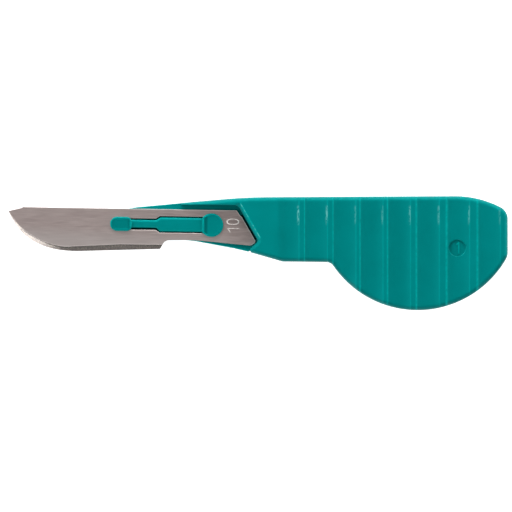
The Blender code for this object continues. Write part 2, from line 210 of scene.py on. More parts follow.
# How finely round shapes are divided
CHORD_ERROR = 0.000001
BIGGEST_STEP = radians(15)
BELLY_STEPS = 60
EDGE_STEPS = 15
FILLET_STEPS = 8
BLADE_RIM_STEPS = 3
CIRCLE_STEPS = 72
ROUND_STEPS = 4
GROOVE_STEPS = 18
SHOULDER_REACH = 1.12
SHOULDER_LINES = 7
SHOULDER_SPACING = 0.000045
RAMP_STEPS = 12
NEARLY_ROUND = 0.98
SAME_LEVEL = 1e-7
CUT_TOLERANCE = 1e-9
LEVEL_NORMAL = 0.99
UPRIGHT_NORMAL = 0.3
SHARP_ANGLE = radians(35)
PAST = 0.002

# Plastic and steel, as linear colours
PLASTIC_SHADES = ((0.0, 0.163, 0.16), (0.0, 0.179, 0.176))
# Colour of the painted glints on the grip, which the brightest painted highlights also take
PLASTIC_PAINTED_GLINT = (0.12, 0.42, 0.4)
# Colour of the painted highlights along the moulding's edges
PLASTIC_PAINTED_HIGHLIGHT = (0.0, 0.33, 0.31)
# Colour of the painted shade in hollows, gaps, dishes and on the lower rim
PLASTIC_PAINTED_SHADE = (0.0, 0.05, 0.05)
PLASTIC_GLOSS = (0.03, 1.0, 0.98)
PLASTIC_IOR = 1.22
PLASTIC_ROUGHNESS = (0.36, 0.46)
PLASTIC_GRAIN_DEPTH = 0.000002
STEEL_SHADES = ((0.495, 0.407, 0.39), (0.576, 0.484, 0.463))
# Colour of the painted shade towards the tang and the spine
STEEL_SHADED = (0.25, 0.205, 0.195)
# Colour of the painted light towards the cutting edge
STEEL_PAINTED_LIGHT = (0.6, 0.53, 0.51)
# Colour of the painted highlight along the blade's rim
STEEL_PAINTED_RIM_HIGHLIGHT = (0.86, 0.78, 0.75)
GROUND_SHADES = ((0.34, 0.31, 0.31), (0.62, 0.555, 0.495))
STEEL_ROUGHNESS = (0.32, 0.42)
STEEL_GRAIN_DEPTH = 0.0000005
GROUND_ROUGHNESS = (0.12, 0.2)
ETCHED_SHADES = ((0.4, 0.37, 0.35), (0.85, 0.8, 0.76))
ETCHED_ROUGHNESS = (0.5, 0.7)

# Noise in the finishes: its stretch, its size, its detail and the weight of its finer parts
CLOUD = ((1, 1, 1), 0.004, 2, 0.5)
GRAIN = ((1, 1, 1), 0.00025, 3, 0.5)
HIGHLIGHT_BREAKUP = ((1, 1, 1), 0.0006, 2, 0.6)
FLECKS = ((1, 0.4, 1), 0.0003, 2, 0.7)
FINE_STREAKS = ((0.04, 1, 1), 0.0001, 3, 0.6)
BROAD_STREAKS = ((0.3, 1, 1), 0.0011, 3, 0.5)
HATCHING = ((1, 0.3, 1), 0.00014, 3, 0.7)
FROST = ((1, 1, 1), 0.0004, 3, 0.5)

# Ranges of the noise and of the amounts, and what they are spread to
RISING = (0.0, 1.0)
FALLING = (1.0, 0.0)
NOISE_RANGE = (0.3, 0.7)
STREAK_RANGE = (0.35, 0.65)
HIGHLIGHT_BREAKUP_RANGE = (0.35, 0.6)
HIGHLIGHT_BREAKUP_SHARES = (0.55, 1.0)
FLECK_RANGE = (0.4, 0.55)
PAINTED_GLINT_ON_HIGHLIGHTS = (0.7, 1.0)
PAINTED_GLINT_ON_HIGHLIGHT_SHARES = (0.0, 0.8)
FINE_STREAK_SHARE = 0.6
SHADED_STREAKS = (0.4, 0.6)
SHADED_STREAK_SHARES = (1.3, 0.7)

# Which slopes of the blade are its bevels, and where its materials stand in its list
GROUND_SLOPE = (0.3, 0.9995)
GROUND_INDEX = 1
ETCHED_INDEX = 2

# Where painted light lightens the steel downwards, where painted shade darkens it to the rear and upwards,
# and where the rim's painted highlight dims towards the tip, in the imported model's frame
LOW_ZONE = (0.0008, 0.0027)
LOW_ZONE_SLANT = 0.05
SHADE_ALONG = (-0.024, -0.0028)
SHADE_UP = (0.0023, 0.0056)
SHADE_LEAST = 0.1
SHADE_REAR = (-0.0062, -0.0019)
SHADE_MOST = 0.36
SHADE_REAR_MORE = 0.38
RIM_DIMS = (-0.039, -0.030)
RIM_DIMMEST = 0.2

# How bright the painted highlights on the moulding's edges are; the grooves are told from the end face
# forwards
FRONT_EDGE = 0.75
REAR_EDGE = 0.4
EDGE_HALF_WIDTHS = (0.0003, 0.0003, 0.00024, 0.0002, 0.00018, 0.00015, 0.00014)
REAR_EDGE_HALF_WIDTH = 0.00012
CREASE_HALF_WIDTH = 0.00012
CREASE_EDGE = 1.4
CREASE_SPAN = (0.0002, 0.0067)
RECESS_EDGE = 0.9
RIM_EDGE = 0.33
RIM_STEEPNESS = 6
BAR_EDGE = 0.65
HEAD_EDGE = 0.6
LIP_EDGE = 0.6
FRONT_LIP_EDGE = 0.9
TONGUE_EDGE = 0.8
NUMBER_EDGE = 0.6
NEAR_LEVEL = 0.00001

# How dark the painted shade is in the moulding's hollows, gaps and dishes and on its lower rim
GROOVE_PAINTED_SHADES = (0.06, 0.08, 0.14, 0.14, 0.14, 0.11, 0.08, 0.05)
LOWER_RIM_Y = -0.0048
LOWER_RIM_PAINTED_SHADE = 0.3
BAND_PAINTED_SHADE = (0.05, 0.45)
BAND_PAINTED_SHADE_TO = 0.00046
FRONT_DISH_PAINTED_SHADE = 0.23
REAR_DISH_PAINTED_SHADE = 0.08
TRENCH_PAINTED_SHADE = 0.62
FRONT_TRENCH_PAINTED_SHADE = 0.45

# The painted glints in streaks, from the end face forwards, and their ends along Y in the imported model's
# frame
PAINTED_GLINT_SHOULDERS = (0.25, 0.45, 0.5, 0.5, 0.35, 0.3, 0.8, 1.0)
PAINTED_GLINT_BACK = 0.00012
PAINTED_GLINT_HALF_WIDTH = 0.00022
PAINTED_GLINT_FROM = (0.0043, 0.0052)
PAINTED_GLINT_TO = (0.0072, 0.0076)

# Studio: each softbox has a heading from +X, an elevation, a size and a radiance
WORLD_RADIANCE = (0.05, 0.75)
LIGHT_DISTANCE = 1.0
POWER_PER_RADIANCE = 4
SOFTBOXES = (
    ("back", 98, 32, (1.0, 0.5), 5.5),
    ("left", 196, 27, (0.9, 0.85), 1.6),
    ("front_left", 218, 58, (0.55, 0.3), 1.4),
    ("front", 270, 14, (1.2, 0.25), 2.5),
    ("right", 5, 28, (0.5, 0.4), 3.0),
)
FLOOR_HALF = 1.5
FLOOR_COLOUR = (0.85, 0.85, 0.85)
FLOOR_ROUGHNESS = 0.7
FLOOR_GLOW = 0.8

# The photograph's frame, with its middle from the blade seat
PHOTO_WIDTH = 0.08105
PHOTO_MIDDLE = (0.00702, -0.00488)
LENS = 600
SENSOR = 36


def arc(centre, radius, start, end):
    """Points on an arc, from one angle to the other, ends included."""
    step = min(BIGGEST_STEP, 2 * acos(1 - min(0.5, CHORD_ERROR / radius)))
    steps = max(1, ceil(abs(end - start) / step))
    angles = [start + (end - start) * i / steps for i in range(steps + 1)]
    return [(centre[0] + radius * cos(a), centre[1] + radius * sin(a)) for a in angles]


def rounded(corners):
    """A closed outline from (x, y, radius) corners, each with an arc that touches both its sides."""
    outline = []
    for i, (x, y, radius) in enumerate(corners):
        at = Vector((x, y))
        before = (Vector(corners[i - 1][:2]) - at).normalized()
        after = (Vector(corners[(i + 1) % len(corners)][:2]) - at).normalized()
        half = before.angle(after) / 2
        if radius == 0:
            outline.append((x, y))
            continue
        centre = at + (before + after).normalized() * (radius / sin(half))
        first = at + before * (radius / tan(half)) - centre
        sweep = first.angle_signed(at + after * (radius / tan(half)) - centre)
        start = atan2(first.y, first.x)
        outline += arc(centre, radius, start, start - sweep)
    return outline


def sharp(points):
    """The same points as corners of no radius."""
    return [(x, y, 0) for x, y in points]


def inset(outline, distance):
    """The anticlockwise outline with each side moved inwards by a distance."""
    moved = []
    for i, point in enumerate(outline):
        at = Vector(point)
        back = (at - Vector(outline[i - 1])).normalized()
        ahead = (Vector(outline[(i + 1) % len(outline)]) - at).normalized()
        inward = (back + ahead).normalized().orthogonal()
        moved.append(tuple(at + inward * (distance / inward.dot(back.orthogonal()))))
    return moved


def bezier(start, pulls, end, steps):
    """Points on a cubic curve, ends included."""
    a, b, c, d = (Vector(p) for p in (start, *pulls, end))
    shares = [i / steps for i in range(steps + 1)]
    return [
        tuple(a * (1 - t) ** 3 + b * 3 * t * (1 - t) ** 2 + c * 3 * t * t * (1 - t) + d * t**3)
        for t in shares
    ]


def line(start, end, steps):
    """Points on a straight line, without its end."""
    a = Vector(start)
    b = Vector(end)
    return [tuple(a.lerp(b, i / steps)) for i in range(steps)]


def tilted(outline):
    """The outline turned about the seat, as the blade lies."""
    turn = Matrix.Rotation(BLADE_TILT, 2)
    return [tuple(turn @ Vector(point)) for point in outline]


def finished_mesh(bm):
    """The mesh that was built."""
    mesh = bpy.data.meshes.new("mesh")
    bm.to_mesh(mesh)
    bm.free()
    return mesh


def linked(name, data):
    """A new object in the scene."""
    made = bpy.data.objects.new(name, data)
    bpy.context.scene.collection.objects.link(made)
    return made


def loft(rings):
    """A closed mesh through rings of as many points each, given as (outline, height), bottom first."""
    bm = bmesh.new()
    rows = [[bm.verts.new((x, y, z)) for x, y in outline] for outline, z in rings]
    bm.faces.new(reversed(rows[0]))
    bm.faces.new(rows[-1])
    count = len(rows[0])
    for low, high in zip(rows, rows[1:]):
        for i in range(count):
            j = (i + 1) % count
            bm.faces.new((low[i], low[j], high[j], high[i]))
    return finished_mesh(bm)


def combined(mesh, operation, other, solver="EXACT"):
    """A new mesh: the first with the other cut from it or joined to it."""
    base = linked("base", mesh)
    tool = linked("tool", other)
    modifier = base.modifiers.new("combine", "BOOLEAN")
    modifier.operation = operation
    modifier.solver = solver
    modifier.object = tool
    depsgraph = bpy.context.evaluated_depsgraph_get()
    made = bpy.data.meshes.new_from_object(base.evaluated_get(depsgraph))
    bpy.data.objects.remove(base, do_unlink=True)
    bpy.data.objects.remove(tool, do_unlink=True)
    return made


def fillet(radius, steps=ROUND_STEPS):
    """(inset, drop) pairs of a rounded rim, from the side wall to the flat."""
    angles = [pi / 2 * i / steps for i in range(steps + 1)]
    return [(radius * (1 - cos(a)), radius * (1 - sin(a))) for a in angles]


def handle_outline():
    """The handle from above, anticlockwise from the front of the waist."""
    lobe_bottom = TOP_Y - HANDLE_DEPTH
    lobe = Vector((END_X + END_CUT - LOBE_RADIUS, lobe_bottom + LOBE_RADIUS))
    waist_y = lobe_bottom + LOBE_DROP

    # A hollow arc leads from the waist into the lobe
    down = lobe.y - waist_y + WAIST_BLEND_RADIUS
    across = sqrt((LOBE_RADIUS + WAIST_BLEND_RADIUS) ** 2 - down**2)
    waist_centre = (lobe.x - across, waist_y - WAIST_BLEND_RADIUS)
    waist_angle = atan2(down, across)

    # A tighter arc leads from the lobe into the end face
    across = LOBE_RADIUS - END_CUT - END_BLEND_RADIUS
    down = sqrt((LOBE_RADIUS - END_BLEND_RADIUS) ** 2 - across**2)
    end_centre = (END_X - END_BLEND_RADIUS, lobe.y - down)
    end_angle = -atan2(down, across)

    lower = arc(waist_centre, WAIST_BLEND_RADIUS, pi / 2, waist_angle)
    lower += arc(lobe, LOBE_RADIUS, waist_angle - pi, end_angle)[1:]
    lower += arc(end_centre, END_BLEND_RADIUS, end_angle, 0)[1:]
    return rounded(
        [
            (*WAIST_FRONT, WAIST_FRONT_RADIUS),
            *sharp(lower),
            (END_X, TOP_Y - END_CORNER_DROP, END_CORNER_RADIUS),
            (END_X - SHOULDER_FROM_END, TOP_Y, SHOULDER_RADIUS),
            (TOP_BEND_X, TOP_Y - TOP_FALL, TOP_BEND_RADIUS),
            (*RIM_START, 0),
            (*TONGUE_TOP, TONGUE_TOP_RADIUS),
            (NOSE_X, NOSE_TOP_Y, NOSE_RADIUS),
            (NOSE_X, NOSE_BOTTOM_Y, NOSE_RADIUS),
            *sharp([TONGUE_BOTTOM, TONGUE_HEEL, BODY_FOOT]),
        ]
    )


def groove_centres():
    """The middle of each grip groove, from the end face forwards."""
    centres = [END_X - GRIP_END_MARGIN - GROOVE_WIDTH / 2]
    for land in reversed(LAND_WIDTHS):
        centres.append(centres[-1] - land - GROOVE_WIDTH)
    return centres


def groove_depth(x):
    """How deep the grip is at x: hollows with lands between, the front-most with a gentle front slope."""
    centres = groove_centres()
    before = centres[-1] - x
    if before > 0:
        return GROOVE_DEPTH * (1 + cos(pi * min(1.0, before / FRONT_SLOPE))) / 2
    half = GROOVE_WIDTH / 2
    nearest = min(centres, key=lambda centre: abs(x - centre))
    away = min(abs(x - nearest) / half, GROOVE_END)
    hollow = GROOVE_DEPTH * (1 - away**GROOVE_POWER)
    rear = min(1.0, max(0.0, 0.5 + (x - nearest) / half))
    softness = FRONT_SHOULDER_SOFTNESS + (REAR_SHOULDER_SOFTNESS - FRONT_SHOULDER_SOFTNESS) * rear
    bead = BEAD_HEIGHT * exp(-(((x - nearest + half) / BEAD_HALF_WIDTH) ** 2))
    return (hollow + hypot(hollow, softness)) / 2 - bead


def ramp_drop(x):
    """How much lower the thin rim above the pocket is at x, easing out towards the body."""
    share = min(1.0, max(0.0, (x - RIM_START[0]) / RIM_RAMP_LENGTH))
    return RIM_RAMP_DROP * (1 - share) ** RIM_RAMP_POWER


def cut_lines():
    """Where the handle is divided along its length, so that it can follow the grooves and the ramp."""
    half = GROOVE_WIDTH / 2
    lines = []
    for centre in groove_centres():
        for i in range(GROOVE_STEPS + 1):
            lines.append(centre + half * SHOULDER_REACH * sin(pi * (i / GROOVE_STEPS - 0.5)))
        for i in range(-SHOULDER_LINES, SHOULDER_LINES + 1):
            lines.append(centre - half + SHOULDER_SPACING * i)
            lines.append(centre + half + SHOULDER_SPACING * i)
    lines += [RIM_START[0] + RIM_RAMP_LENGTH * i / RAMP_STEPS for i in range(RAMP_STEPS + 1)]
    return sorted(set(lines))


def handle_plate(thickness):
    """The moulding before its pocket: rounded rims that follow the grooves, and a fine parting ridge."""
    outline = handle_outline()
    middle = thickness / 2
    low = fillet(EDGE_ROUND, FILLET_STEPS)[::-1]
    high = [(d, thickness - drop) for d, drop in low[::-1]]
    ridge = [(0, -PARTING_HALF_WIDTH), (-PARTING_RIDGE, 0), (0, PARTING_HALF_WIDTH)]
    ridge = [(d, middle + above) for d, above in ridge]
    mesh = loft([(inset(outline, d), z) for d, z in low + ridge + high])

    bm = bmesh.new()
    bm.from_mesh(mesh)
    for x in cut_lines():
        bmesh.ops.bisect_plane(
            bm,
            geom=bm.verts[:] + bm.edges[:] + bm.faces[:],
            dist=CUT_TOLERANCE,
            plane_co=(x, 0, 0),
            plane_no=(1, 0, 0),
        )
    reach = middle - EDGE_ROUND
    for vert in bm.verts:
        above = vert.co.z - middle
        share = min(1.0, max(0.0, (abs(above) - PARTING_HALF_WIDTH) / (reach - PARTING_HALF_WIDTH)))
        drop = groove_depth(vert.co.x)
        if above > 0:
            drop += ramp_drop(vert.co.x)
        vert.co.z -= copysign(drop * share, above)
    return finished_mesh(bm)


def rear_wall():
    """The low and the high corner of the pocket's rear wall, and the heading from the blade to it."""
    rear_edge = Vector(REAR_JOG[0]) - Vector(TANG_CORNER)
    away = Vector((rear_edge.y, -rear_edge.x)).normalized()
    low = Vector(TANG_CORNER) + away * POCKET_REAR_GAP
    high = low + rear_edge * ((POCKET_TOP_Y - low.y) / rear_edge.y)
    return low, high, away


def pocket_outline():
    """What the pocket takes off the tongue: its walls follow the blade's spine, rear edge and foot."""
    front = NOSE_X - PAST
    below = BODY_FOOT[1] - PAST
    low, high, _ = rear_wall()
    foot = [(front, below), (TANG_FOOT[0], below), (TANG_FOOT[0], TANG_FOOT[1] - POCKET_FOOT_GAP)]
    top = [(RIM_START[0], POCKET_TOP_Y), (RIM_START[0], TOP_Y + PAST), (front, TOP_Y + PAST)]
    wall = [(*low, POCKET_CORNER_RADIUS), (*high, POCKET_TOP_RADIUS)]
    corners = rounded([*sharp(foot), *wall, *sharp(top)])

    # The wall under the rim gets points of its own, to follow the ramp
    rim = corners[-3]
    wall = line(corners[-4], rim, RAMP_STEPS)
    return corners[:-4] + wall + corners[-3:]


def band_share(point, away):
    """How wide the band is beside a point of the wall: whole along the rear edge, narrow over the spine."""
    if point.x < RIM_START[0] + PAST / 2:
        return BAND_OVER_SPINE
    straight = rear_wall()[2]
    turn = atan2(away.y, away.x) - atan2(straight.y, straight.x)
    last = pi / 2 - atan2(straight.y, straight.x)
    reach = POCKET_TOP_RADIUS + BAND_WIDTH
    share = (reach / cos(max(0.0, min(turn, CREASE_TURN))) - POCKET_TOP_RADIUS) / BAND_WIDTH
    fade = max(0.0, min(1.0, (turn - CREASE_TURN) / (last - CREASE_TURN)))
    return share + (BAND_OVER_SPINE - share) * (1 - cos(pi * fade)) / 2


def pocket(thickness):
    """The pocket's cutter: straight walls, then the sloped band up to its crease."""
    wall = pocket_outline()
    slope = atan2(BAND_DROP, BAND_WIDTH)
    band_low = thickness - BAND_DROP
    rings = [(0, TONGUE_THICKNESS)]

    # From the upright wall to the slope of the band
    turn = pi / 2 - slope
    reach = BAND_LOW_ROUND * tan(turn / 2)
    for i in range(ROUND_STEPS + 1):
        angle = turn * i / ROUND_STEPS
        z = band_low - reach + BAND_LOW_ROUND * sin(angle)
        rings.append((BAND_LOW_ROUND * (1 - cos(angle)), z))

    # From the slope to the flat face, ending just short of level
    reach = BAND_HIGH_ROUND * tan(slope / 2)
    for i in range(ROUND_STEPS):
        angle = slope * (1 - i / ROUND_STEPS)
        away = BAND_WIDTH + reach - BAND_HIGH_ROUND * sin(angle)
        rings.append((away, thickness - BAND_FADE_DROP - BAND_HIGH_ROUND * (1 - cos(angle))))
    rings.append((BAND_WIDTH + reach, thickness - BAND_FADE_DROP))
    outside = BAND_WIDTH + reach + BAND_FADE
    rings += [(outside, thickness), (outside, thickness + PAST)]

    # The band narrows over the spine, where the wall follows the rim's ramp
    mesh = loft([(inset(wall, -d), z) for d, z in rings])
    outer = inset(wall, -BAND_WIDTH)
    shares = [band_share(Vector(a), Vector(b) - Vector(a)) for a, b in zip(wall, outer)]
    for i, vert in enumerate(mesh.vertices):
        share = shares[i % len(wall)]
        foot = Vector(wall[i % len(wall)])
        vert.co.xy = foot.lerp(vert.co.xy, share)
        if TONGUE_THICKNESS + SEAT_CLEARANCE < vert.co.z < thickness:
            vert.co.z = thickness - (thickness - vert.co.z) * min(1.0, share)
        if vert.co.z > TONGUE_THICKNESS + SEAT_CLEARANCE:
            vert.co.z -= ramp_drop(vert.co.x)
    mesh.transform(Matrix.Rotation(BLADE_TILT, 4, "Z"))
    return mesh


def reliefs():
    """Two channels in the tongue's face, under the blade's slot and along its rear edge."""
    high = TONGUE_THICKNESS + RELIEF_PAST
    slot = tilted(inset(slot_outline(), -RELIEF_PAST))
    low, top, away = rear_wall()
    middle = away * (-POCKET_REAR_GAP / 2 - RELIEF_FROM_WALL)
    along = (top - low).normalized()
    ends = tilted([low + middle + along * RELIEF_SHORT[0], top + middle - along * RELIEF_SHORT[1]])
    channel = stroke(*ends, POCKET_REAR_GAP, TONGUE_THICKNESS - REAR_RELIEF, high)
    return loft([(slot, TONGUE_THICKNESS - SLOT_RELIEF), (slot, high)]), channel


def nose_taper():
    """A cutter across the whole handle that thins the back of the tongue towards the nose."""
    front = NOSE_X - PAST
    rise = NOSE_TAPER * (1 + PAST / (BODY_FOOT[0] - NOSE_X))
    corners = [(front, rise), (BODY_FOOT[0], 0), (BODY_FOOT[0], -PAST), (front, -PAST)]
    bm = bmesh.new()
    side = bm.faces.new([bm.verts.new((x, -HANDLE_DEPTH, z)) for x, z in corners])
    run = bmesh.ops.extrude_face_region(bm, geom=[side])["geom"]
    moved = [item for item in run if isinstance(item, bmesh.types.BMVert)]
    bmesh.ops.translate(bm, verts=moved, vec=(0, 2 * HANDLE_DEPTH, 0))
    bmesh.ops.recalc_face_normals(bm, faces=bm.faces)
    return finished_mesh(bm)


def notch(thickness):
    """The small round notch where the body's lower side meets the tongue."""
    around = arc(BODY_FOOT, NOTCH_RADIUS, 0, 2 * pi)[:-1]
    return loft([(around, -PAST), (around, thickness + PAST)])


def recess(thickness):
    """The round recess in a groove's floor, with a softened foot and rim."""
    centre = (END_X - RECESS_FROM_END, RECESS_Y)
    floor = thickness - GROOVE_DEPTH - RECESS_DEPTH
    rim = thickness - GROOVE_DEPTH
    turns = [2 * pi * i / CIRCLE_STEPS for i in range(CIRCLE_STEPS)]
    profile = [
        (RECESS_RADIUS - RECESS_RIM, floor),
        (RECESS_RADIUS - RECESS_RIM / 3, floor + RECESS_RIM / 3),
        (RECESS_RADIUS, rim - RECESS_RIM),
        (RECESS_RADIUS + RECESS_RIM / 3, rim - RECESS_RIM / 3),
        (RECESS_RADIUS + RECESS_RIM, rim + RECESS_RIM),
        (RECESS_RADIUS + RECESS_RIM, thickness + PAST),
    ]
    rings = []
    for radius, z in profile:
        around = [(centre[0] + radius * cos(a), centre[1] + radius * sin(a)) for a in turns]
        rings.append((around, z))
    return loft(rings)


def rounded_tongue(mesh):
    """Rounds the tongue's upper rim, where the pocket leaves it sharp."""
    bm = bmesh.new()
    bm.from_mesh(mesh)
    rim = []
    for edge in bm.edges:
        level = all(abs(v.co.z - TONGUE_THICKNESS) < SAME_LEVEL for v in edge.verts)
        if level and len(edge.link_faces) == 2:
            ups = sorted(face.normal.z for face in edge.link_faces)
            lowest = min(face.calc_center_median().z for face in edge.link_faces)
            outside = lowest < TONGUE_THICKNESS - SAME_LEVEL
            if ups[1] > LEVEL_NORMAL and abs(ups[0]) < UPRIGHT_NORMAL and outside:
                rim.append(edge)
    bmesh.ops.bevel(
        bm,
        geom=rim,
        offset=TONGUE_ROUND,
        offset_type="OFFSET",
        segments=ROUND_STEPS,
        profile=0.5,
        affect="EDGES",
        clamp_overlap=False,
    )
    return finished_mesh(bm)


def mirrored(corners):
    """A closed outline from (x, y, radius) corners of its lower half, which the upper half mirrors."""
    return rounded(corners + [(x, -y, radius) for x, y, radius in reversed(corners)])


def slot_outline():
    """The slot in the blade, wider behind its step."""
    narrow = SLOT_NARROW / 2
    wide = SLOT_WIDE / 2
    return mirrored(
        [
            (SLOT_FRONT_X, -narrow, narrow * NEARLY_ROUND),
            (SLOT_STEP_X, -narrow, 0),
            (SLOT_STEP_X + SLOT_STEP_RUN, -wide, 0),
            (SLOT_REAR_X, -wide, wide * NEARLY_ROUND),
        ]
    )


def rear_head_outline(radius, flat_x):
    """A disc cut off by a flat at its front, always with as many points."""
    reach = acos(flat_x / radius)
    angles = [reach * (2 * i / CIRCLE_STEPS - 1) for i in range(CIRCLE_STEPS + 1)]
    return [(radius * cos(a), radius * sin(a)) for a in angles]


def eased(steps=ROUND_STEPS):
    """(share, height) pairs of a slope that starts and ends level."""
    return [(i / steps, (1 - cos(pi * i / steps)) / 2) for i in range(steps + 1)]


def head_side(low, high):
    """(inset, height) pairs of a staked head, from its foot up to its rounded rim."""
    return [
        (HEAD_ROUND / 2, low),
        (0, low + HEAD_ROUND / 2),
        *((d, high - drop) for d, drop in fillet(HEAD_ROUND)),
    ]


def front_head(low):
    """The front staked head: round at its front, squarer at its rear, with a shallow dish."""
    high = low + HEAD_THICKNESS
    profile = head_side(low, high)
    profile += [(CREST_INSET + HEAD_SLOPE * d, high - HEAD_DISH * drop) for d, drop in eased()]
    profile.append((FRONT_DISH_INSET, high - HEAD_DISH))
    half = FRONT_HEAD_WIDTH / 2
    rear = (FRONT_HEAD_X + FRONT_HEAD_LENGTH, -half, FRONT_HEAD_RADIUS)
    outline = tilted(mirrored([(FRONT_HEAD_X, -half, half * NEARLY_ROUND), rear]))
    return loft([(inset(outline, d), z) for d, z in profile])


def rear_head(low):
    """A disc with a raised ring, whose dish slopes up to the flat at its front."""
    high = low + HEAD_THICKNESS
    rings = []
    for d, z in head_side(low, high):
        rings.append((rear_head_outline(REAR_HEAD_RADIUS - d, REAR_HEAD_FLAT_X + d), z))
    crest_flat = REAR_HEAD_FLAT_X + CREST_INSET
    slope = REAR_DISH_FLAT_X - crest_flat
    for share, drop in eased(2 * ROUND_STEPS):
        radius = REAR_HEAD_RADIUS - CREST_INSET - HEAD_SLOPE * share
        rings.append((rear_head_outline(radius, crest_flat + slope * share), high - HEAD_DISH * drop))
    mesh = loft([(tilted(outline), z) for outline, z in rings])
    for vert in mesh.vertices:
        if vert.co.z > high - HEAD_ROUND and vert.co.x < REAR_DISH_FLAT_X:
            level = min(1.0, (vert.co.x - REAR_DISH_FLAT_X) / -slope)
            vert.co.z += REAR_HEAD_LIP * level**2 - REAR_HEAD_TRENCH * sin(pi * level)
    return mesh


def staked_bar(blade_top):
    """The bar in the blade's slot, with a dished head melted over the blade at each end."""
    # Its narrow part stands further off the slot's lower side
    narrow_x = SLOT_STEP_X + SLOT_STEP_RUN / 2
    outline = []
    for x, y in inset(slot_outline(), BAR_CLEARANCE):
        outline.append((x, y * BAR_LOWER_SHARE if y < 0 and x < narrow_x else y))
    outline = tilted(outline)
    top = blade_top + BAR_PROUD
    profile = [(0, TONGUE_THICKNESS / 2)] + [(d, top - drop) for d, drop in fillet(BAR_ROUND)]
    bar = loft([(inset(outline, d), z) for d, z in profile])
    low = blade_top + SEAT_CLEARANCE
    for head in (front_head(low), rear_head(low)):
        bar = combined(bar, "UNION", head, "MANIFOLD")
    return bar


def stroke(start, end, width, low, high):
    """A straight stroke of a number, as a thin solid."""
    along = (Vector(end) - Vector(start)).normalized() * (width / 2)
    side = Vector((-along.y, along.x))
    first = Vector(start) - along
    last = Vector(end) + along
    outline = [first - side, last - side, last + side, first + side]
    return loft([(outline, low), (outline, high)])


def plain_one(head, foot, tip, width, low, high):
    """A 1, from its stem and the flag at its head."""
    stem = stroke(head, foot, width, low, high)
    return combined(stem, "UNION", stroke(head, tip, width, low, high))


def moulded_one(thickness):
    """The plain 1 that stands on the recess's floor."""
    x, foot, head = MOULDED_ONE
    floor = thickness - GROOVE_DEPTH - RECESS_DEPTH
    tip = (x + MOULDED_FLAG[0], head + MOULDED_FLAG[1])
    levels = (floor - MOULDED_HEIGHT, floor + MOULDED_HEIGHT)
    return plain_one((x, head), (x, foot), tip, MOULDED_STROKE, *levels)


def squared(value):
    """A sine or cosine that makes a circle squarer."""
    return copysign(abs(value) ** ETCHED_ZERO_POWER, value)


def etched_zero(low, high):
    """The ring of the plain 0 in the tang, which reads towards the spine."""
    left, right, bottom, top = ETCHED_ZERO
    middle = Vector(((left + right) / 2, (bottom + top) / 2))
    reach = Vector(((right - left) / 2, (top - bottom) / 2))
    turns = [2 * pi * i / ETCHED_ZERO_STEPS for i in range(ETCHED_ZERO_STEPS)]
    around = [Vector((squared(cos(a)), squared(sin(a)))) for a in turns]
    outside = tilted([middle + unit * reach for unit in around])
    inside = tilted([middle + unit * (reach - Vector(ETCHED_ZERO_STROKES)) for unit in around])
    ring = loft([(outside, low), (outside, high)])
    return combined(ring, "DIFFERENCE", loft([(inside, low - PAST), (inside, high + PAST)]))


def etched_one(low, high):
    """The plain 1 in the tang, below the 0."""
    top, foot, y = ETCHED_ONE
    tip = (top + ETCHED_FLAG[0], y + ETCHED_FLAG[1])
    return plain_one(*tilted([(top, y), (foot, y), tip]), ETCH_STROKE, low, high)


def handle_mesh(thickness, blade_top):
    """The whole moulding, with the bar that stands in the blade's slot."""
    mesh = combined(handle_plate(thickness), "DIFFERENCE", pocket(thickness))
    mesh = rounded_tongue(mesh)
    for cutter in (*reliefs(), nose_taper(), notch(thickness), recess(thickness)):
        mesh = combined(mesh, "DIFFERENCE", cutter)
    mesh = combined(mesh, "UNION", moulded_one(thickness))
    return combined(mesh, "UNION", staked_bar(blade_top), "MANIFOLD")


def blade_outline(tip, pulls, belly_end, *runs):
    """The blade from above, anticlockwise: the belly's curve, straight runs to the heel, and the rest."""
    edge = bezier(tip, pulls, belly_end, BELLY_STEPS)
    for end, steps in runs:
        edge += [*line(edge[-1], end, steps)[1:], end]
    tang = [
        (*CHOIL, CHOIL_RADIUS),
        (*TANG_DIP, TANG_DIP_RADIUS),
        (*TANG_FOOT, TANG_CORNER_RADIUS),
        (*TANG_CORNER, TANG_CORNER_RADIUS),
    ]
    spine = [*REAR_JOG, SPINE_REAR, SPINE_FRONT, *CLIP]
    return tilted(rounded([*sharp(edge), *tang, *sharp(spine)]))


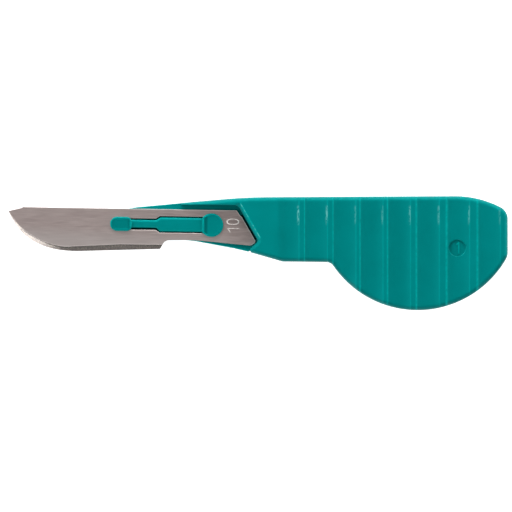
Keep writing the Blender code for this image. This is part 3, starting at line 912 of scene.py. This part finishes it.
def blade_mesh(low, high):
    """The blank with rounded corners, ground from both faces to its edge, with the slot cut out."""
    middle = (low + high) / 2
    half_edge = EDGE_THICKNESS / 2
    whole = blade_outline(TIP, BELLY_PULLS, BELLY_END, (HEEL, 2 * EDGE_STEPS))
    runs = ((GRIND_MIDDLE, EDGE_STEPS), (GRIND_HEEL, EDGE_STEPS))
    face = blade_outline(GRIND_TIP, GRIND_PULLS, GRIND_BELLY_END, *runs)
    rim = [(inset(face, d), drop + BLADE_RIM_FALL) for d, drop in fillet(BLADE_ROUND, BLADE_RIM_STEPS)]
    rim.append((inset(face, BLADE_ROUND + BLADE_RIM), 0))

    # The grind is hollow: steepest beside the face
    grind = []
    foot = high - BLADE_ROUND - BLADE_RIM_FALL
    for share, fall in reversed(GRIND_PROFILE):
        outline = [tuple(Vector(a).lerp(Vector(b), share)) for a, b in zip(face, whole)]
        grind.append((outline, foot + (middle + half_edge - foot) * fall))
    above = grind + [(outline, high - drop) for outline, drop in rim[1:]]
    rings = [(outline, low + high - z) for outline, z in reversed(above)] + above
    mesh = loft(rings)
    slot = tilted(slot_outline())
    flare = [(inset(slot, -d), high - drop) for d, drop in SLOT_FLARE]
    flare = [(slot, middle), *flare, (flare[-1][0], high + PAST)]
    cutters = (
        loft([(slot, low - PAST), (slot, high + PAST)]),
        loft(flare),
        etched_zero(high - ETCH_DEPTH, high + PAST),
        etched_one(high - ETCH_DEPTH, high + PAST),
    )
    for cutter in cutters:
        mesh = combined(mesh, "DIFFERENCE", cutter)
    return mesh


def new_material(name, **sockets):
    """A material with a Principled shader, whose sockets are named with underscores for spaces."""
    made = bpy.data.materials.new(name)
    made.use_nodes = True
    shader = made.node_tree.nodes["Principled BSDF"]
    for socket, value in sockets.items():
        shader.inputs[socket.replace("_", " ")].default_value = value
    return made


def feed(tree, socket, value):
    """Gives a socket a value, or leads another node's output to it."""
    if isinstance(value, bpy.types.NodeSocket):
        tree.links.new(value, socket)
    else:
        socket.default_value = value


def add_node(tree, kind, inputs, **settings):
    """A shader node, with values or other nodes' outputs for its inputs."""
    made = tree.nodes.new("ShaderNode" + kind)
    for name, value in settings.items():
        setattr(made, name, value)
    for name, value in inputs.items():
        feed(tree, made.inputs[name], value)
    return made


def place_on(tree, stretch=(1, 1, 1)):
    """The place on the piece, in metres, stretched by a factor along each axis."""
    place = add_node(tree, "TexCoord", {}).outputs["Object"]
    return add_node(tree, "Mapping", {"Vector": place, "Scale": stretch}).outputs["Vector"]


def stored(tree, name):
    """An amount that is stored at each point of the mesh."""
    return add_node(tree, "Attribute", {}, attribute_name=name).outputs["Fac"]


def noise(tree, kind):
    """Cloudy noise, of a kind given as its stretch, size, detail and weight of its finer parts."""
    stretch, size, detail, weight = kind
    place = place_on(tree, stretch)
    inputs = {"Vector": place, "Scale": 1 / size, "Detail": detail, "Roughness": weight}
    return add_node(tree, "TexNoise", inputs).outputs["Fac"]


def spread(tree, value, before, after):
    """The value moved from one range to another."""
    ends = zip(("From Min", "From Max", "To Min", "To Max"), (*before, *after))
    return add_node(tree, "MapRange", {"Value": value, **dict(ends)}).outputs["Result"]


def calculated(tree, operation, first, second):
    """The sum or the product of two values."""
    made = add_node(tree, "Math", {}, operation=operation)
    feed(tree, made.inputs[0], first)
    feed(tree, made.inputs[1], second)
    return made.outputs["Value"]


def product(tree, first, second):
    """One value times another."""
    return calculated(tree, "MULTIPLY", first, second)


def ramp(tree, value, ends, colours):
    """A colour that runs from one to the other while the value goes from end to end."""
    made = add_node(tree, "ValToRGB", {"Fac": value})
    for element, at, colour in zip(made.color_ramp.elements, ends, colours):
        element.position = at
        element.color = (*colour, 1)
    return made.outputs["Color"]


def mixed(tree, amount, colour, plain):
    """A colour that a plain one covers by some amount."""
    made = add_node(tree, "Mix", {}, data_type="RGBA")
    tree.links.new(amount, made.inputs["Factor"])
    first, second = (socket for socket in made.inputs if socket.type == "RGBA")
    tree.links.new(colour, first)
    second.default_value = (*plain, 1)
    return next(socket for socket in made.outputs if socket.type == "RGBA")


def finish(made, colour, grain, roughness, depth):
    """Leads a colour to the material's shader, with a roughness and a bump that follow its grain."""
    tree = made.node_tree
    shader = tree.nodes["Principled BSDF"]
    bump = add_node(tree, "Bump", {"Height": grain, "Distance": depth})
    tree.links.new(colour, shader.inputs["Base Color"])
    tree.links.new(spread(tree, grain, NOISE_RANGE, roughness), shader.inputs["Roughness"])
    tree.links.new(bump.outputs["Normal"], shader.inputs["Normal"])
    return made


def teal_plastic():
    """Satin moulded plastic: a little cloudy, finely grained, with painted glints in streaks on the grip,
    painted highlights along its edges and painted shade in its hollows.
    """
    made = new_material("teal_plastic", Specular_Tint=(*PLASTIC_GLOSS, 1), IOR=PLASTIC_IOR)
    tree = made.node_tree
    grain = noise(tree, GRAIN)
    colour = ramp(tree, noise(tree, CLOUD), NOISE_RANGE, PLASTIC_SHADES)

    # Painted shade in dishes, hollows and gaps, and on the lower rim
    colour = mixed(tree, stored(tree, "painted_shade"), colour, PLASTIC_PAINTED_SHADE)
    # Painted highlights along the edges, broken up here and there by noise, the brightest in the glint
    # colour
    breakup = spread(tree, noise(tree, HIGHLIGHT_BREAKUP), HIGHLIGHT_BREAKUP_RANGE, HIGHLIGHT_BREAKUP_SHARES)
    edge = product(tree, stored(tree, "edge"), breakup)
    colour = mixed(tree, edge, colour, PLASTIC_PAINTED_HIGHLIGHT)
    colour = mixed(tree, spread(tree, edge, PAINTED_GLINT_ON_HIGHLIGHTS, PAINTED_GLINT_ON_HIGHLIGHT_SHARES), colour, PLASTIC_PAINTED_GLINT)

    # Painted glints in streaks on the grip's lands, broken up by finer noise
    across = add_node(tree, "SeparateXYZ", {"Vector": place_on(tree)}).outputs["Y"]
    streak = product(tree, stored(tree, "painted_glint"), spread(tree, noise(tree, FLECKS), FLECK_RANGE, RISING))
    streak = product(tree, streak, spread(tree, across, PAINTED_GLINT_FROM, RISING))
    streak = product(tree, streak, spread(tree, across, PAINTED_GLINT_TO, FALLING))
    colour = mixed(tree, streak, colour, PLASTIC_PAINTED_GLINT)
    return finish(made, colour, grain, PLASTIC_ROUGHNESS, PLASTIC_GRAIN_DEPTH)


def blade_steel():
    """Brushed steel: fine streaks along the blade in its colour, its gloss and its surface."""
    made = new_material("blade_steel", Metallic=1.0)
    tree = made.node_tree
    fine = noise(tree, FINE_STREAKS)
    broad_part = product(tree, noise(tree, BROAD_STREAKS), 1 - FINE_STREAK_SHARE)
    streaks = calculated(tree, "ADD", product(tree, fine, FINE_STREAK_SHARE), broad_part)
    colour = ramp(tree, streaks, STREAK_RANGE, STEEL_SHADES)

    # Painted light towards the cutting edge, and painted shade towards the tang and the spine
    at = add_node(tree, "SeparateXYZ", {"Vector": place_on(tree)})
    along = at.outputs["X"]
    across = at.outputs["Y"]
    level = calculated(tree, "ADD", across, product(tree, along, LOW_ZONE_SLANT))
    colour = mixed(tree, spread(tree, level, LOW_ZONE, FALLING), colour, STEEL_PAINTED_LIGHT)
    shade = product(
        tree,
        spread(tree, along, SHADE_ALONG, (0.0, SHADE_MOST)),
        spread(tree, across, SHADE_UP, (SHADE_LEAST, 1.0)),
    )
    shade = calculated(tree, "ADD", shade, spread(tree, along, SHADE_REAR, (0.0, SHADE_REAR_MORE)))
    shade = product(tree, shade, spread(tree, streaks, SHADED_STREAKS, SHADED_STREAK_SHARES))
    colour = mixed(tree, shade, colour, STEEL_SHADED)
    # A painted highlight along the blade's rim, dimmer towards the tip
    rim = product(tree, stored(tree, "rim"), spread(tree, along, RIM_DIMS, (RIM_DIMMEST, 1.0)))
    colour = mixed(tree, rim, colour, STEEL_PAINTED_RIM_HIGHLIGHT)
    return finish(made, colour, fine, STEEL_ROUGHNESS, STEEL_GRAIN_DEPTH)


def grained_steel(name, metallic, kind, ends, colours, roughness):
    """Steel whose colour, gloss and surface all follow one noise."""
    made = new_material(name, Metallic=metallic)
    grain = noise(made.node_tree, kind)
    colour = ramp(made.node_tree, grain, ends, colours)
    return finish(made, colour, grain, roughness, STEEL_GRAIN_DEPTH)


def blade_finishes():
    """Brushed flats, ground bevels with hatching across them, and the frosted floor of the numbers."""
    return (
        blade_steel(),
        grained_steel("ground_steel", 1.0, HATCHING, STREAK_RANGE, GROUND_SHADES, GROUND_ROUGHNESS),
        grained_steel("etched_steel", 0.0, FROST, NOISE_RANGE, ETCHED_SHADES, ETCHED_ROUGHNESS),
    )


def mark(mesh, name, amount):
    """Stores an amount, found from the place of each point, as an attribute of the mesh."""
    values = [amount(vert.co) for vert in mesh.vertices]
    mesh.attributes.new(name, "FLOAT", "POINT").data.foreach_set("value", values)


def peak(distance, half_width):
    """From 1 at no distance to 0 at the half width."""
    return max(0.0, 1 - abs(distance) / half_width)


def painted_glint_amount(place):
    """How much painted glint the rear shoulders of the grooves get at a place."""
    rear = GROOVE_WIDTH / 2 - PAINTED_GLINT_BACK
    shoulders = zip(groove_centres(), PAINTED_GLINT_SHOULDERS)
    return max(amount * peak(place.x - centre - rear, PAINTED_GLINT_HALF_WIDTH) for centre, amount in shoulders)


def rim_share(drop, radius):
    """From 0 at the flat to 1 on most of a rounded rim, and 0 below it."""
    return min(1.0, RIM_STEEPNESS * max(0.0, drop) / radius) if drop < radius + NEAR_LEVEL else 0.0


def untilted(place):
    """A place seen from above, turned back to where the blade isn't tilted."""
    return Matrix.Rotation(-BLADE_TILT, 2) @ place.xy


def beyond_wall(place):
    """How far a place lies beyond the pocket's rear wall, and how far along it from its foot."""
    low, high, away = rear_wall()
    at = untilted(place) - low
    return at.dot(away), at.dot((high - low).normalized())


def outer_rim(place, thickness):
    """Where the body's rounded outer rim is, from 0 at the flat to 1."""
    level = thickness - groove_depth(place.x) - ramp_drop(place.x)
    return rim_share(level - place.z, EDGE_ROUND)


def body_painted_highlight(place, thickness):
    """How bright a painted highlight on an edge of the body is at a place: shoulder, outer rim, crease or
    recess.
    """
    half = GROOVE_WIDTH / 2
    centres = groove_centres()
    amount = RIM_EDGE * outer_rim(place, thickness) if place.y > LOWER_RIM_Y else 0.0
    for centre in centres:
        beyond = place.x - centre - half + NEAR_LEVEL
        amount = max(amount, REAR_EDGE * peak(beyond, REAR_EDGE_HALF_WIDTH))
    for centre, width in zip(centres, EDGE_HALF_WIDTHS):
        amount = max(amount, FRONT_EDGE * peak(place.x - centre + half, width))
    beyond, along = beyond_wall(place)
    at_crease = CREASE_SPAN[0] < along < CREASE_SPAN[1]
    if at_crease and abs(place.z - thickness) < BAND_HIGH_ROUND:
        crease = CREASE_EDGE * peak(beyond - BAND_WIDTH, CREASE_HALF_WIDTH)
        amount = max(amount, min(1.0, crease))

    # The recess gets a painted highlight on its rim, and so does the number in it
    centre = Vector((END_X - RECESS_FROM_END, RECESS_Y))
    away = (place.xy - centre).length - RECESS_RADIUS
    if away > 2 * RECESS_RIM:
        return amount
    down = thickness - GROOVE_DEPTH - place.z
    if abs(down - RECESS_RIM / 3) < NEAR_LEVEL:
        return RECESS_EDGE
    return NUMBER_EDGE if abs(down - RECESS_DEPTH + MOULDED_HEIGHT) < NEAR_LEVEL else 0.0


def painted_highlight_amount(place, thickness, blade_top):
    """How bright a painted highlight on an edge of the moulding is at a place."""
    at = untilted(place)
    if at.y >= POCKET_TOP_Y or beyond_wall(place)[0] >= BAND_LOW_ROUND:
        return body_painted_highlight(place, thickness)
    head_top = blade_top + SEAT_CLEARANCE + HEAD_THICKNESS
    if dish_painted_shade(place, head_top) > 0:
        return 0.0
    if at.length < REAR_HEAD_RADIUS and abs(at.x - REAR_HEAD_FLAT_X - HEAD_ROUND) < HEAD_ROUND / 2:
        return LIP_EDGE
    rear = FRONT_HEAD_X + FRONT_HEAD_LENGTH
    on_lip = rear - CREST_INSET < at.x < rear - NEAR_LEVEL
    if on_lip and place.z > head_top - HEAD_ROUND:
        return FRONT_LIP_EDGE
    head = HEAD_EDGE * rim_share(head_top - place.z, HEAD_ROUND)
    bar = BAR_EDGE * rim_share(blade_top + BAR_PROUD - place.z, BAR_ROUND)
    tongue = TONGUE_EDGE * rim_share(TONGUE_THICKNESS - place.z, TONGUE_ROUND)
    return max(head, bar, tongue)


def dish_painted_shade(place, head_top):
    """How much painted shade a place in the dish of a staked head gets."""
    if abs(place.z - head_top) > 2 * HEAD_DISH + REAR_HEAD_TRENCH:
        return 0.0
    at = untilted(place)
    if at.length < REAR_HEAD_RADIUS - CREST_INSET:
        front = REAR_HEAD_FLAT_X + CREST_INSET
        level = (at.x - front) / (REAR_DISH_FLAT_X - front)
        if level <= 0:
            return 0.0
        return max(REAR_DISH_PAINTED_SHADE, TRENCH_PAINTED_SHADE * sin(pi * min(1.0, level)))
    middle = FRONT_HEAD_X + FRONT_HEAD_LENGTH / 2
    inside = FRONT_HEAD_WIDTH / 2 - CREST_INSET - HEAD_SLOPE / 2
    reach = FRONT_HEAD_LENGTH / 2 - CREST_INSET
    if abs(at.x - middle) < reach - NEAR_LEVEL and abs(at.y) < inside:
        rear = middle + reach - HEAD_SLOPE
        return FRONT_TRENCH_PAINTED_SHADE if abs(at.x - rear) < HEAD_ROUND / 2 else FRONT_DISH_PAINTED_SHADE
    return 0.0


def painted_shade_amount(place, thickness, head_top):
    """How much painted shade a place gets: on the band, in a relief, in a head's dish, in a groove or on
    the lower rim.
    """
    beyond, along = beyond_wall(place)
    if NEAR_LEVEL < beyond < BAND_PAINTED_SHADE_TO and CREASE_SPAN[0] < along < CREASE_SPAN[1]:
        return BAND_PAINTED_SHADE[0] + (BAND_PAINTED_SHADE[1] - BAND_PAINTED_SHADE[0]) * along / CREASE_SPAN[1]
    in_relief = TONGUE_THICKNESS / 2 - NEAR_LEVEL < place.z < TONGUE_THICKNESS - SLOT_RELIEF / 2
    if beyond < NEAR_LEVEL and in_relief:
        return 1.0
    if beyond < BAND_WIDTH:
        return dish_painted_shade(place, head_top)
    painted_shade = LOWER_RIM_PAINTED_SHADE * outer_rim(place, thickness) if place.y < LOWER_RIM_Y else 0.0
    for centre, most in zip(groove_centres(), GROOVE_PAINTED_SHADES):
        away = 2 * (place.x - centre) / GROOVE_WIDTH
        painted_shade = max(painted_shade, most * (1 - away**2))
    return painted_shade


def mark_moulding(mesh, thickness, blade_top):
    """Says where the moulding gets painted glints, painted highlights on its edges and painted shade."""
    head_top = blade_top + SEAT_CLEARANCE + HEAD_THICKNESS
    mark(mesh, "painted_glint", painted_glint_amount)
    mark(mesh, "edge", lambda place: painted_highlight_amount(place, thickness, blade_top))
    mark(mesh, "painted_shade", lambda place: painted_shade_amount(place, thickness, head_top))


def blade_rim_painted_highlight(place, middle, half):
    """Where the blade's rim gets its painted highlight: 1 on the rim, and 0 on its flat faces and along the
    tang's lower edge.
    """
    if place.y < TANG_RIM_ABOVE and CHOIL[0] < place.x < TANG_FOOT[0]:
        return 0.0
    return min(1.0, (half - abs(place.z - middle)) / BLADE_RIM_FALL)


def mark_blade(mesh, low, high):
    """Says where the blade's rim gets its painted highlight, and which faces are its bevels and its etched
    floors.
    """
    middle = (low + high) / 2
    half = (high - low) / 2
    reach = half - BLADE_ROUND
    etched = high - ETCH_DEPTH
    mark(mesh, "rim", lambda place: blade_rim_painted_highlight(place, middle, half))
    for face in mesh.polygons:
        if GROUND_SLOPE[0] < abs(face.normal.z) < GROUND_SLOPE[1] and abs(face.center.z - middle) < reach:
            face.material_index = GROUND_INDEX
        if face.normal.z > GROUND_SLOPE[1] and abs(face.center.z - etched) < ETCH_DEPTH / 2:
            face.material_index = ETCHED_INDEX


def paint(mesh, materials):
    """Gives the mesh these materials and no others: joined solids keep an empty place."""
    mesh.materials.clear()
    for material in materials:
        mesh.materials.append(material)


def add_piece(name, mesh, seat, node):
    """A piece of the scalpel in place of a node of the frame."""
    mesh.transform(Matrix.Translation(seat))
    mesh.shade_smooth()
    mesh.set_sharp_from_angle(angle=SHARP_ANGLE)
    piece = linked(name, mesh)
    piece.modifiers.new("weighted_normals", "WEIGHTED_NORMAL").keep_sharp = True
    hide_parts(node)
    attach(piece, "root")


def add_softbox(name, heading, elevation, size, radiance):
    """A soft light that faces the scalpel, at a heading from +X and an elevation, in degrees."""
    light = bpy.data.lights.new(name, "AREA")
    light.shape = "RECTANGLE"
    light.size = size[0]
    light.size_y = size[1]
    light.energy = radiance * POWER_PER_RADIANCE * size[0] * size[1]
    made = linked(name, light)
    turn = radians(heading)
    towards = Vector((cos(turn), sin(turn), tan(radians(elevation)))).normalized()
    made.location = towards * LIGHT_DISTANCE
    made.rotation_mode = "QUATERNION"
    made.rotation_quaternion = towards.to_track_quat("Z", "Y")
    made.visible_camera = False


def add_world():
    """A soft surround that is brighter towards +Y, from where most of the light comes."""
    world = bpy.data.worlds.new("studio")
    world.use_nodes = True
    tree = world.node_tree
    towards = add_node(tree, "TexCoord", {}).outputs["Generated"]
    across = add_node(tree, "SeparateXYZ", {"Vector": towards}).outputs["Y"]
    strength = spread(tree, across, (-1.0, 1.0), WORLD_RADIANCE)
    tree.links.new(strength, tree.nodes["Background"].inputs["Strength"])
    tree.nodes["Background"].inputs["Color"].default_value = (1, 1, 1, 1)
    bpy.context.scene.world = world


def add_floor():
    """A plain white table, lit a little from below so that shadows on it stay faint."""
    bm = bmesh.new()
    bmesh.ops.create_grid(bm, x_segments=1, y_segments=1, size=FLOOR_HALF)
    mesh = finished_mesh(bm)
    white = new_material(
        "floor_white",
        Base_Color=(*FLOOR_COLOUR, 1),
        Roughness=FLOOR_ROUGHNESS,
        Emission_Color=(1, 1, 1, 1),
        Emission_Strength=FLOOR_GLOW,
    )
    mesh.materials.append(white)
    floor = linked("floor", mesh)


def add_camera(seat):
    """Straight above, as the photograph was taken."""
    camera = bpy.data.cameras.new("camera")
    camera.lens = LENS
    camera.sensor_width = SENSOR
    made = linked("camera", camera)
    made.location = seat + Vector((*PHOTO_MIDDLE, PHOTO_WIDTH * LENS / SENSOR))
    bpy.context.scene.camera = made


def add_studio(seat):
    """The surround, the table, the lights and the camera."""
    bpy.context.scene.view_settings.view_transform = "Standard"
    add_world()
    add_floor()
    for name, *settings in SOFTBOXES:
        add_softbox(name + "_softbox", *settings)
    add_camera(seat)


def main():
    """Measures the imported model, puts the fine pieces in place of its nodes and adds the studio."""
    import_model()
    handle_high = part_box("handle")[1]
    blade_low, blade_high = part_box("blade")
    seat = Vector((handle_high.x - END_X, handle_high.y - TOP_Y, 0))

    moulding = handle_mesh(round(handle_high.z, 6), blade_high.z)
    paint(moulding, [teal_plastic()])
    mark_moulding(moulding, handle_high.z, blade_high.z)
    add_piece("handle_moulding", moulding, seat, "handle")

    blank = blade_mesh(blade_low.z, blade_high.z)
    paint(blank, blade_finishes())
    mark_blade(blank, blade_low.z, blade_high.z)
    add_piece("blade_blank", blank, seat, "blade")
    add_studio(seat)


main()
